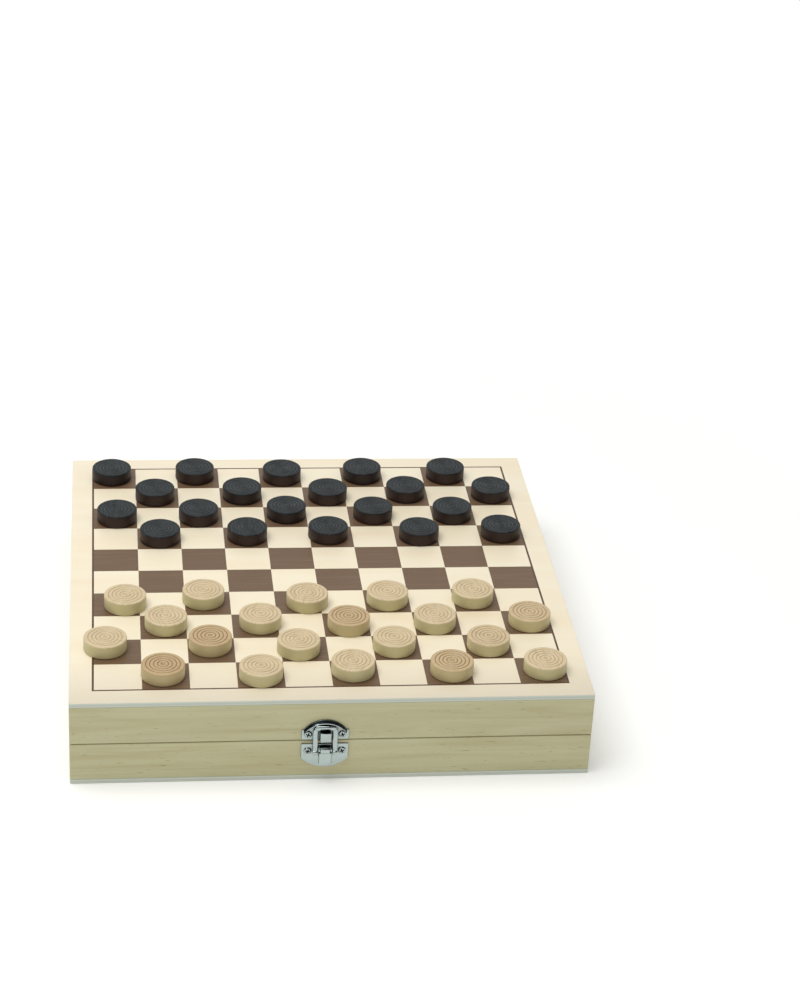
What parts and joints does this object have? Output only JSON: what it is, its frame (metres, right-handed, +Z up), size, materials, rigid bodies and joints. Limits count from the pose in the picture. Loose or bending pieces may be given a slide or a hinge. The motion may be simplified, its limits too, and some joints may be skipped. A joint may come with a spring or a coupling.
{
  "type": "games compendium box",
  "caption": "Flat hinged wooden case with a draughts board on its lid and a chess board under its base, a toggle latch, turned draughts set out on top and a chess set lying inside.",
  "frame": {"origin": "middle of the case's underside, on the face it rests on", "axes": "+Z up out of the draughts board, front with the latch towards -Y, hinges towards +Y, +X to the right seen from the front"},
  "size_m": [0.298, 0.3081, 0.0617],
  "materials": {
    "pine": "clear lacquered pine, satin",
    "panel": "thin plywood panel, clear lacquer",
    "print_ink": "brown screen print under the same lacquer",
    "nickel": "bright nickel plate on pressed steel",
    "draught_light": "turned beech, lacquered",
    "draught_dark": "turned beech, black stain, lacquered",
    "chess_light": "turned boxwood colour, glossy varnish",
    "chess_dark": "turned wood, dark brown stain, glossy varnish"
  },
  "bodies": {
    "base": {"base_front_rail": "pine", "base_back_rail": "pine", "base_left_rail": "pine", "base_right_rail": "pine", "chess_board_panel": "panel", "chess_board_print": "print_ink", "left_hinge_base_leaf": "nickel", "right_hinge_base_leaf": "nickel", "left_hinge_pin": "nickel", "right_hinge_pin": "nickel", "base_hinge_screws": "nickel", "latch_plate": "nickel", "latch_screws": "nickel", "lever_pin": "nickel"},
    "lid": {"lid_front_rail": "pine", "lid_back_rail": "pine", "lid_left_rail": "pine", "lid_right_rail": "pine", "draughts_board_panel": "panel", "draughts_board_print": "print_ink", "left_hinge_lid_leaf": "nickel", "right_hinge_lid_leaf": "nickel", "lid_hinge_screws": "nickel", "catch_plate": "nickel", "catch_screws": "nickel"},
    "latch_lever": {"latch_lever": "nickel", "bail_pin": "nickel"},
    "latch_bail": {"latch_bail": "nickel"},
    "light_draughts_1": {"light_draughts_row_1": "draught_light"},
    "light_draughts_2": {"light_draughts_row_2": "draught_light"},
    "light_draughts_3": {"light_draughts_row_3": "draught_light"},
    "light_draughts_4": {"light_draughts_row_4": "draught_light"},
    "dark_draughts_1": {"dark_draughts_row_1": "draught_dark"},
    "dark_draughts_2": {"dark_draughts_row_2": "draught_dark"},
    "dark_draughts_3": {"dark_draughts_row_3": "draught_dark"},
    "dark_draughts_4": {"dark_draughts_row_4": "draught_dark"},
    "light_back_rank": {"light_king": "chess_light", "light_queen": "chess_light", "light_bishops": "chess_light", "light_knights": "chess_light", "light_rooks": "chess_light"},
    "light_pawn_rank": {"light_pawns": "chess_light"},
    "dark_back_rank": {"dark_king": "chess_dark", "dark_queen": "chess_dark", "dark_bishops": "chess_dark", "dark_knights": "chess_dark", "dark_rooks": "chess_dark"},
    "dark_pawn_rank": {"dark_pawns": "chess_dark"}
  },
  "joints": [
    {"name": "lid_hinge", "type": "hinge", "parent": "base", "child": "lid", "pos_m": [0, 0.1511, 0.0264], "axis": [-1, 0, 0], "range_deg": [0, 180]},
    {"name": "latch_throw", "type": "hinge", "parent": "base", "child": "latch_lever", "pos_m": [-0.005, -0.1524, 0.022], "axis": [-1, 0, 0], "range_deg": [0, 140]},
    {"name": "bail_swing", "type": "hinge", "parent": "latch_lever", "child": "latch_bail", "pos_m": [-0.005, -0.15219, 0.02001], "axis": [1, 0, 0], "range_deg": [0, 157]},
    {"name": "light_draughts_1_lift", "type": "slide", "parent": "lid", "child": "light_draughts_1", "axis": [0, 0, 1], "range_m": [0, 0.025]},
    {"name": "light_draughts_2_lift", "type": "slide", "parent": "lid", "child": "light_draughts_2", "axis": [0, 0, 1], "range_m": [0, 0.025]},
    {"name": "light_draughts_3_lift", "type": "slide", "parent": "lid", "child": "light_draughts_3", "axis": [0, 0, 1], "range_m": [0, 0.025]},
    {"name": "light_draughts_4_lift", "type": "slide", "parent": "lid", "child": "light_draughts_4", "axis": [0, 0, 1], "range_m": [0, 0.025]},
    {"name": "dark_draughts_1_lift", "type": "slide", "parent": "lid", "child": "dark_draughts_1", "axis": [0, 0, 1], "range_m": [0, 0.025]},
    {"name": "dark_draughts_2_lift", "type": "slide", "parent": "lid", "child": "dark_draughts_2", "axis": [0, 0, 1], "range_m": [0, 0.025]},
    {"name": "dark_draughts_3_lift", "type": "slide", "parent": "lid", "child": "dark_draughts_3", "axis": [0, 0, 1], "range_m": [0, 0.025]},
    {"name": "dark_draughts_4_lift", "type": "slide", "parent": "lid", "child": "dark_draughts_4", "axis": [0, 0, 1], "range_m": [0, 0.025]},
    {"name": "light_back_rank_lift", "type": "slide", "parent": "base", "child": "light_back_rank", "axis": [0, 0, 1], "range_m": [0, 0.02]},
    {"name": "light_pawn_rank_lift", "type": "slide", "parent": "base", "child": "light_pawn_rank", "axis": [0, 0, 1], "range_m": [0, 0.02]},
    {"name": "dark_back_rank_lift", "type": "slide", "parent": "base", "child": "dark_back_rank", "axis": [0, 0, 1], "range_m": [0, 0.02]},
    {"name": "dark_pawn_rank_lift", "type": "slide", "parent": "base", "child": "dark_pawn_rank", "axis": [0, 0, 1], "range_m": [0, 0.02]}
  ],
  "couplings": [
    {"joint": "bail_swing", "follows": "latch_throw", "ratio": 1.12}
  ]
}
